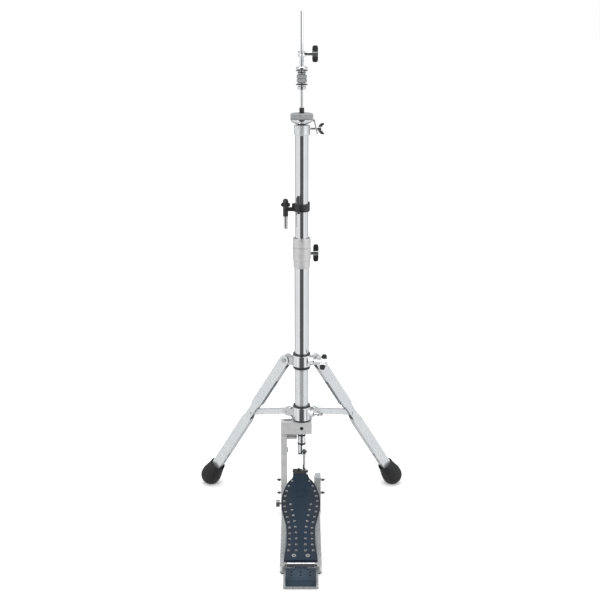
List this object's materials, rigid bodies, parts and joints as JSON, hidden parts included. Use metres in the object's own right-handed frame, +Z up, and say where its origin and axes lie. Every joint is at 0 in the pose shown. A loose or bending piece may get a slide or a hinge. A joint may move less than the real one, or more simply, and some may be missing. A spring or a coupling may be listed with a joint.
{
  "type": "hi-hat stand",
  "caption": "Folding-leg hi-hat stand with a direct-drive footboard pedal, sprung pull rod, telescoping tube, tilting cymbal seat and felted clutch.",
  "frame": {"origin": "on the floor, under the axis of the tubes, on the underside of the pedal's pad", "axes": "+Z up along the tubes, +Y away from the drummer, +X to the drummer's right; the heel of the pedal points to -Y"},
  "size_m": [0.4962, 0.4997, 1.125],
  "materials": {
    "satin_metal": "satin plated steel with a faint grain",
    "cast_aluminium": "matte machined and cast aluminium",
    "chrome": "polished chrome",
    "steel": "turned steel",
    "black_rubber": "matte moulded rubber",
    "black_plastic": "matte black nylon",
    "grey_felt": "pressed wool felt",
    "blue_board": "dark blue satin coating on machined aluminium",
    "blue_heel": "slate blue satin coating"
  },
  "bodies": {
    "root": {"base_plate": "satin_metal", "base_pad": "black_rubber", "side_rails": "satin_metal", "frame_casting": "cast_aluminium", "heel_plate": "blue_heel", "heel_hinge_leaf": "chrome", "heel_hinge_pin": "steel", "frame_screws": "steel", "guide_bush": "black_plastic", "base_tube": "satin_metal", "lower_tube": "chrome", "height_clamp": "cast_aluminium", "height_bushing": "black_plastic", "return_spring": "steel"},
    "side_knob": {"side_knob": "chrome"},
    "height_wing": {"height_wing_bolt": "chrome", "height_wing_grips": "black_rubber"},
    "footboard": {"footboard": "blue_board", "board_hinge_leaf": "chrome", "board_fasteners": "steel", "toe_block": "black_plastic"},
    "drive_link": {"drive_link": "chrome"},
    "pull_rod": {"clevis": "chrome", "clevis_pin": "steel", "clevis_rings": "black_rubber", "lower_pull_rod": "steel", "rod_coupling": "steel", "upper_rod": "chrome"},
    "clutch": {"clutch_body": "chrome", "clutch_lock_nut": "chrome", "clutch_washers": "black_plastic", "clutch_felts": "grey_felt", "clutch_bottom_nut": "chrome"},
    "clutch_wing": {"clutch_wing_bolt": "chrome", "clutch_wing_grips": "black_rubber"},
    "upper_tube": {"upper_tube": "chrome", "tube_cap": "satin_metal"},
    "seat": {"seat_cup": "chrome", "seat_felt": "grey_felt", "seat_sleeve": "black_plastic", "tilt_bracket": "satin_metal"},
    "tilt_wing": {"tilt_wing_bolt": "chrome"},
    "memory_lock": {"memory_lock": "black_plastic"},
    "lock_screw": {"lock_screw": "black_plastic"},
    "drum_key": {"drum_key": "chrome"},
    "leg_hub": {"upper_collar": "chrome", "hub_bushings": "black_plastic", "leg_pins": "steel"},
    "hub_wing": {"hub_wing_bolt": "chrome", "hub_wing_grips": "black_rubber"},
    "lower_collar": {"lower_collar": "chrome", "lower_bushings": "black_plastic", "brace_pins": "steel"},
    "collar_screw": {"collar_screw": "steel"},
    "leg_left": {"leg_left": "satin_metal", "foot_left": "black_rubber"},
    "leg_right": {"leg_right": "satin_metal", "foot_right": "black_rubber"},
    "brace_left": {"brace_left": "satin_metal"},
    "brace_right": {"brace_right": "satin_metal"}
  },
  "joints": [
    {"name": "footboard_hinge", "type": "hinge", "parent": "root", "child": "footboard", "pos_m": [-0.002, -0.282, 0.028], "axis": [-1, 0, 0], "range_deg": [0, 7.2]},
    {"name": "pull_rod_slide", "type": "slide", "parent": "root", "child": "pull_rod", "axis": [0, 0, -1], "range_m": [0, 0.037], "stiffness_N_per_m": 700, "springref_m": -0.022, "deforming": ["return_spring"]},
    {"name": "link_pivot", "type": "hinge", "parent": "pull_rod", "child": "drive_link", "pos_m": [0.0057, 0, 0.151], "axis": [1, 0, 0], "range_deg": [0, 9]},
    {"name": "clutch_slide", "type": "slide", "parent": "pull_rod", "child": "clutch", "axis": [0, 0, 1], "range_m": [0, 0.06]},
    {"name": "clutch_screw_turn", "type": "hinge", "parent": "clutch", "child": "clutch_wing", "pos_m": [0.01, 0, 1.039], "axis": [1, 0, 0], "continuous": true},
    {"name": "height_slide", "type": "slide", "parent": "root", "child": "upper_tube", "axis": [0, 0, 1], "range_m": [-0.048, 0]},
    {"name": "height_screw_turn", "type": "hinge", "parent": "root", "child": "height_wing", "pos_m": [0.02, 0.027, 0.6135], "axis": [1, 0, 0], "continuous": true},
    {"name": "tilt_screw_turn", "type": "hinge", "parent": "seat", "child": "tilt_wing", "pos_m": [0.03, 0, 0.887], "axis": [1, 0, 0], "range_deg": [0, 360]},
    {"name": "seat_tilt", "type": "hinge", "parent": "upper_tube", "child": "seat", "pos_m": [0, 0, 0.911], "axis": [0, 1, 0], "range_deg": [-4, 0]},
    {"name": "memory_lock_slide", "type": "slide", "parent": "upper_tube", "child": "memory_lock", "axis": [0, 0, 1], "range_m": [0, 0.14]},
    {"name": "lock_screw_turn", "type": "hinge", "parent": "memory_lock", "child": "lock_screw", "pos_m": [-0.00689, -0.02403, 0.7205], "axis": [-0.2756, -0.9613, 0], "continuous": true},
    {"name": "drum_key_lift", "type": "slide", "parent": "memory_lock", "child": "drum_key", "axis": [0, 0, 1], "range_m": [0, 0.06]},
    {"name": "leg_swivel", "type": "hinge", "parent": "root", "child": "leg_hub", "pos_m": [0, 0, 0.368], "axis": [0, 0, 1], "range_deg": [-25, 0]},
    {"name": "hub_screw_turn", "type": "hinge", "parent": "leg_hub", "child": "hub_wing", "pos_m": [0.03804, -0.01236, 0.375], "axis": [0.9511, -0.309, 0], "continuous": true},
    {"name": "lower_collar_slide", "type": "slide", "parent": "leg_hub", "child": "lower_collar", "axis": [0, 0, 1], "range_m": [0, 0.04909]},
    {"name": "collar_screw_turn", "type": "hinge", "parent": "lower_collar", "child": "collar_screw", "pos_m": [0.02853, -0.00927, 0.249], "axis": [0.9511, -0.309, 0], "continuous": true},
    {"name": "leg_left_fold", "type": "hinge", "parent": "leg_hub", "child": "leg_left", "pos_m": [-0.03497, 0.02271, 0.368], "axis": [-0.5446, -0.8387, 0], "range_deg": [0, 33]},
    {"name": "brace_left_pivot", "type": "hinge", "parent": "lower_collar", "child": "brace_left", "pos_m": [-0.03229, 0.02097, 0.2435], "axis": [-0.5446, -0.8387, 0], "range_deg": [0, 73.6]},
    {"name": "leg_right_fold", "type": "hinge", "parent": "leg_hub", "child": "leg_right", "pos_m": [0.03497, 0.02271, 0.368], "axis": [-0.5446, 0.8387, 0], "range_deg": [0, 33]},
    {"name": "brace_right_pivot", "type": "hinge", "parent": "lower_collar", "child": "brace_right", "pos_m": [0.03229, 0.02097, 0.2435], "axis": [-0.5446, 0.8387, 0], "range_deg": [0, 73.6]},
    {"name": "side_knob_turn", "type": "hinge", "parent": "root", "child": "side_knob", "pos_m": [-0.05, -0.016, 0.027], "axis": [-1, 0, 0], "continuous": true}
  ],
  "couplings": [
    {"joint": "pull_rod_slide", "follows": "footboard_hinge", "m_per_rad": 0.28967},
    {"joint": "link_pivot", "follows": "footboard_hinge", "ratio": 1.1058},
    {"joint": "seat_tilt", "follows": "tilt_screw_turn", "ratio": -0.011111},
    {"joint": "lower_collar_slide", "follows": "leg_left_fold", "m_per_rad": 0.085226},
    {"joint": "leg_right_fold", "follows": "leg_left_fold", "ratio": 1},
    {"joint": "brace_left_pivot", "follows": "leg_left_fold", "ratio": 2.2303},
    {"joint": "brace_right_pivot", "follows": "leg_left_fold", "ratio": 2.2303}
  ]
}
